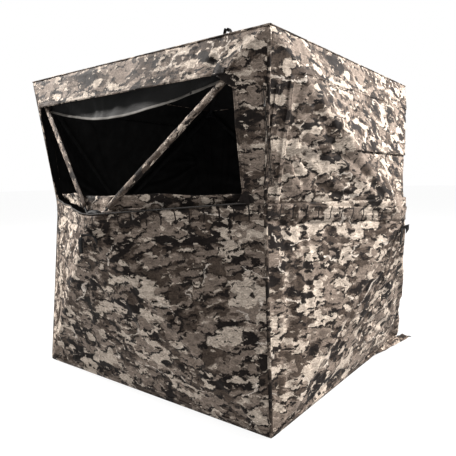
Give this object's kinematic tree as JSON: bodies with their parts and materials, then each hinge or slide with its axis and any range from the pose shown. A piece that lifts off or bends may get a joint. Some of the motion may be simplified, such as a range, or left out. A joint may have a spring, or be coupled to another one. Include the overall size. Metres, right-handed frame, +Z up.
{
  "type": "pop up ground blind",
  "caption": "Square camouflage hide with pyramid walls and roof, sprung rods on central hubs, an open front window and a zipped door.",
  "frame": {"origin": "on the ground under the middle of the blind", "axes": "+Z up, -Y out of the front wall with the open window, +X out of the right wall"},
  "size_m": [2.034, 2.034, 1.8333],
  "materials": {
    "camo_cloth": "matte",
    "mesh": "matte",
    "belt_webbing": "matte",
    "black_webbing": "matte",
    "zinc": "satin",
    "hub_plastic": "satin",
    "corner_plastic": "satin",
    "fibreglass": "satin"
  },
  "bodies": {
    "shell": {"front_wall": "camo_cloth", "front_belt": "belt_webbing", "front_window_curtain": "camo_cloth", "front_window_mesh": "mesh", "right_wall": "camo_cloth", "right_belt": "belt_webbing", "right_window_upper_curtain": "camo_cloth", "right_window_lower_curtain": "camo_cloth", "back_wall": "camo_cloth", "back_belt": "belt_webbing", "left_wall": "camo_cloth", "left_belt": "belt_webbing", "left_window_curtain": "camo_cloth", "roof": "camo_cloth", "corner_top_front_right": "corner_plastic", "corner_foot_front_right": "corner_plastic", "stake_loop_front_right": "black_webbing", "corner_top_back_right": "corner_plastic", "corner_foot_back_right": "corner_plastic", "stake_loop_back_right": "black_webbing", "corner_top_back_left": "corner_plastic", "corner_foot_back_left": "corner_plastic", "stake_loop_back_left": "black_webbing", "corner_top_front_left": "corner_plastic", "corner_foot_front_left": "corner_plastic", "stake_loop_front_left": "black_webbing"},
    "front_hub_body": {"front_hub": "hub_plastic", "front_pull_strap": "black_webbing"},
    "front_rod_upper_left_body": {"front_rod_upper_left": "fibreglass"},
    "front_rod_upper_right_body": {"front_rod_upper_right": "fibreglass"},
    "front_rod_lower_left_body": {"front_rod_lower_left": "fibreglass"},
    "front_rod_lower_right_body": {"front_rod_lower_right": "fibreglass"},
    "right_hub_body": {"right_hub": "hub_plastic", "right_pull_strap": "black_webbing"},
    "right_rod_upper_left_body": {"right_rod_upper_left": "fibreglass"},
    "right_rod_upper_right_body": {"right_rod_upper_right": "fibreglass"},
    "right_rod_lower_left_body": {"right_rod_lower_left": "fibreglass"},
    "right_rod_lower_right_body": {"right_rod_lower_right": "fibreglass"},
    "back_hub_body": {"back_hub": "hub_plastic", "back_pull_strap": "black_webbing"},
    "back_rod_upper_left_body": {"back_rod_upper_left": "fibreglass"},
    "back_rod_upper_right_body": {"back_rod_upper_right": "fibreglass"},
    "back_rod_lower_left_body": {"back_rod_lower_left": "fibreglass"},
    "back_rod_lower_right_body": {"back_rod_lower_right": "fibreglass"},
    "left_hub_body": {"left_hub": "hub_plastic", "left_pull_strap": "black_webbing"},
    "left_rod_upper_left_body": {"left_rod_upper_left": "fibreglass"},
    "left_rod_upper_right_body": {"left_rod_upper_right": "fibreglass"},
    "left_rod_lower_left_body": {"left_rod_lower_left": "fibreglass"},
    "left_rod_lower_right_body": {"left_rod_lower_right": "fibreglass"},
    "roof_hub_body": {"roof_hub": "hub_plastic", "roof_pull_strap": "black_webbing"},
    "roof_rod_front_right_body": {"roof_rod_front_right": "fibreglass"},
    "roof_rod_back_right_body": {"roof_rod_back_right": "fibreglass"},
    "roof_rod_back_left_body": {"roof_rod_back_left": "fibreglass"},
    "roof_rod_front_left_body": {"roof_rod_front_left": "fibreglass"},
    "door_frame": {"door_zip_tape": "black_webbing"},
    "door": {"door_panel": "camo_cloth"},
    "door_slider": {"door_zip_slider": "zinc"},
    "window_slider": {"window_zip_slider": "zinc"}
  },
  "joints": [
    {"name": "front_hub_push", "type": "slide", "parent": "shell", "child": "front_hub_body", "axis": [0, 1, 0], "range_m": [0, 0.4614], "deforming": ["front_wall", "front_belt", "front_window_curtain", "front_window_mesh"]},
    {"name": "front_rod_upper_left_swing", "type": "hinge", "parent": "shell", "child": "front_rod_upper_left_body", "pos_m": [-0.714, -0.74, 1.5], "axis": [0.6923, 0, 0.7216], "range_deg": [0, 27.79]},
    {"name": "front_rod_upper_right_swing", "type": "hinge", "parent": "shell", "child": "front_rod_upper_right_body", "pos_m": [0.714, -0.74, 1.5], "axis": [0.6923, 0, -0.7216], "range_deg": [0, 27.79]},
    {"name": "front_rod_lower_left_swing", "type": "hinge", "parent": "shell", "child": "front_rod_lower_left_body", "pos_m": [-0.6966, -0.7226, 0.04], "axis": [-0.7437, 0, 0.6685], "range_deg": [0, 26.25]},
    {"name": "front_rod_lower_right_swing", "type": "hinge", "parent": "shell", "child": "front_rod_lower_right_body", "pos_m": [0.6966, -0.7226, 0.04], "axis": [-0.7437, 0, -0.6685], "range_deg": [0, 26.25]},
    {"name": "right_hub_push", "type": "slide", "parent": "shell", "child": "right_hub_body", "axis": [-1, 0, 0], "range_m": [0, 0.4614], "deforming": ["right_wall", "right_belt", "right_window_upper_curtain", "right_window_lower_curtain"]},
    {"name": "right_rod_upper_left_swing", "type": "hinge", "parent": "shell", "child": "right_rod_upper_left_body", "pos_m": [0.74, -0.714, 1.5], "axis": [0, 0.6923, 0.7216], "range_deg": [0, 27.79]},
    {"name": "right_rod_upper_right_swing", "type": "hinge", "parent": "shell", "child": "right_rod_upper_right_body", "pos_m": [0.74, 0.714, 1.5], "axis": [0, 0.6923, -0.7216], "range_deg": [0, 27.79]},
    {"name": "right_rod_lower_left_swing", "type": "hinge", "parent": "shell", "child": "right_rod_lower_left_body", "pos_m": [0.7226, -0.6966, 0.04], "axis": [0, -0.7437, 0.6685], "range_deg": [0, 26.25]},
    {"name": "right_rod_lower_right_swing", "type": "hinge", "parent": "shell", "child": "right_rod_lower_right_body", "pos_m": [0.7226, 0.6966, 0.04], "axis": [0, -0.7437, -0.6685], "range_deg": [0, 26.25]},
    {"name": "back_hub_push", "type": "slide", "parent": "shell", "child": "back_hub_body", "axis": [0, -1, 0], "range_m": [0, 0.4614], "deforming": ["back_wall", "back_belt"]},
    {"name": "back_rod_upper_left_swing", "type": "hinge", "parent": "shell", "child": "back_rod_upper_left_body", "pos_m": [0.714, 0.74, 1.5], "axis": [-0.6923, 0, 0.7216], "range_deg": [0, 27.79]},
    {"name": "back_rod_upper_right_swing", "type": "hinge", "parent": "shell", "child": "back_rod_upper_right_body", "pos_m": [-0.714, 0.74, 1.5], "axis": [-0.6923, 0, -0.7216], "range_deg": [0, 27.79]},
    {"name": "back_rod_lower_left_swing", "type": "hinge", "parent": "shell", "child": "back_rod_lower_left_body", "pos_m": [0.6966, 0.7226, 0.04], "axis": [0.7437, 0, 0.6685], "range_deg": [0, 26.25]},
    {"name": "back_rod_lower_right_swing", "type": "hinge", "parent": "shell", "child": "back_rod_lower_right_body", "pos_m": [-0.6966, 0.7226, 0.04], "axis": [0.7437, 0, -0.6685], "range_deg": [0, 26.25]},
    {"name": "left_hub_push", "type": "slide", "parent": "shell", "child": "left_hub_body", "axis": [1, 0, 0], "range_m": [0, 0.4614], "deforming": ["left_wall", "left_belt", "left_window_curtain"]},
    {"name": "left_rod_upper_left_swing", "type": "hinge", "parent": "shell", "child": "left_rod_upper_left_body", "pos_m": [-0.74, 0.714, 1.5], "axis": [0, -0.6923, 0.7216], "range_deg": [0, 27.79]},
    {"name": "left_rod_upper_right_swing", "type": "hinge", "parent": "shell", "child": "left_rod_upper_right_body", "pos_m": [-0.74, -0.714, 1.5], "axis": [0, -0.6923, -0.7216], "range_deg": [0, 27.79]},
    {"name": "left_rod_lower_left_swing", "type": "hinge", "parent": "shell", "child": "left_rod_lower_left_body", "pos_m": [-0.7226, 0.6966, 0.04], "axis": [0, 0.7437, 0.6685], "range_deg": [0, 26.25]},
    {"name": "left_rod_lower_right_swing", "type": "hinge", "parent": "shell", "child": "left_rod_lower_right_body", "pos_m": [-0.7226, -0.6966, 0.04], "axis": [0, 0.7437, -0.6685], "range_deg": [0, 26.25]},
    {"name": "roof_hub_push", "type": "slide", "parent": "shell", "child": "roof_hub_body", "axis": [0, 0, -1], "range_m": [0, 0.482], "deforming": ["roof"]},
    {"name": "roof_rod_front_right_swing", "type": "hinge", "parent": "shell", "child": "roof_rod_front_right_body", "pos_m": [0.712, -0.712, 1.528], "axis": [-0.7071, -0.7071, 0], "range_deg": [0, 28.58]},
    {"name": "roof_rod_back_right_swing", "type": "hinge", "parent": "shell", "child": "roof_rod_back_right_body", "pos_m": [0.712, 0.712, 1.528], "axis": [0.7071, -0.7071, 0], "range_deg": [0, 28.58]},
    {"name": "roof_rod_back_left_swing", "type": "hinge", "parent": "shell", "child": "roof_rod_back_left_body", "pos_m": [-0.712, 0.712, 1.528], "axis": [0.7071, 0.7071, 0], "range_deg": [0, 28.58]},
    {"name": "roof_rod_front_left_swing", "type": "hinge", "parent": "shell", "child": "roof_rod_front_left_body", "pos_m": [-0.712, -0.712, 1.528], "axis": [-0.7071, 0.7071, 0], "range_deg": [0, 28.58]},
    {"name": "door_facet_fold", "type": "hinge", "parent": "shell", "child": "door_frame", "pos_m": [-0.7453, 0.7453, 0.77], "axis": [0.0113, -0.0113, -0.9999], "range_deg": [0, 34.37]},
    {"name": "door_open", "type": "hinge", "parent": "door_frame", "child": "door", "pos_m": [-0.632, 0.742, 0.775], "axis": [0, 0, -1], "range_deg": [0, 85]},
    {"name": "window_zip_slide", "type": "slide", "parent": "shell", "child": "window_slider", "axis": [-0.086, 0.086, -0.9926], "range_m": [0, 0.29]},
    {"name": "door_zip_slide", "type": "slide", "parent": "door_frame", "child": "door_slider", "axis": [0, 0, -1], "range_m": [0, 0.64]}
  ],
  "couplings": [
    {"joint": "front_rod_upper_left_swing", "follows": "front_hub_push", "rad_per_m": 1.0504},
    {"joint": "front_rod_upper_right_swing", "follows": "front_hub_push", "rad_per_m": 1.0504},
    {"joint": "front_rod_lower_left_swing", "follows": "front_hub_push", "rad_per_m": 0.99231},
    {"joint": "front_rod_lower_right_swing", "follows": "front_hub_push", "rad_per_m": 0.99231},
    {"joint": "right_rod_upper_left_swing", "follows": "right_hub_push", "rad_per_m": 1.0504},
    {"joint": "right_rod_upper_right_swing", "follows": "right_hub_push", "rad_per_m": 1.0504},
    {"joint": "right_rod_lower_left_swing", "follows": "right_hub_push", "rad_per_m": 0.99231},
    {"joint": "right_rod_lower_right_swing", "follows": "right_hub_push", "rad_per_m": 0.99231},
    {"joint": "back_rod_upper_left_swing", "follows": "back_hub_push", "rad_per_m": 1.0504},
    {"joint": "back_rod_upper_right_swing", "follows": "back_hub_push", "rad_per_m": 1.0504},
    {"joint": "back_rod_lower_left_swing", "follows": "back_hub_push", "rad_per_m": 0.99231},
    {"joint": "back_rod_lower_right_swing", "follows": "back_hub_push", "rad_per_m": 0.99231},
    {"joint": "left_rod_upper_left_swing", "follows": "left_hub_push", "rad_per_m": 1.0504},
    {"joint": "left_rod_upper_right_swing", "follows": "left_hub_push", "rad_per_m": 1.0504},
    {"joint": "left_rod_lower_left_swing", "follows": "left_hub_push", "rad_per_m": 0.99231},
    {"joint": "left_rod_lower_right_swing", "follows": "left_hub_push", "rad_per_m": 0.99231},
    {"joint": "roof_rod_front_right_swing", "follows": "roof_hub_push", "rad_per_m": 1.0341},
    {"joint": "roof_rod_back_right_swing", "follows": "roof_hub_push", "rad_per_m": 1.0341},
    {"joint": "roof_rod_back_left_swing", "follows": "roof_hub_push", "rad_per_m": 1.0341},
    {"joint": "roof_rod_front_left_swing", "follows": "roof_hub_push", "rad_per_m": 1.0341},
    {"joint": "door_facet_fold", "follows": "back_hub_push", "rad_per_m": 1.2995}
  ]
}
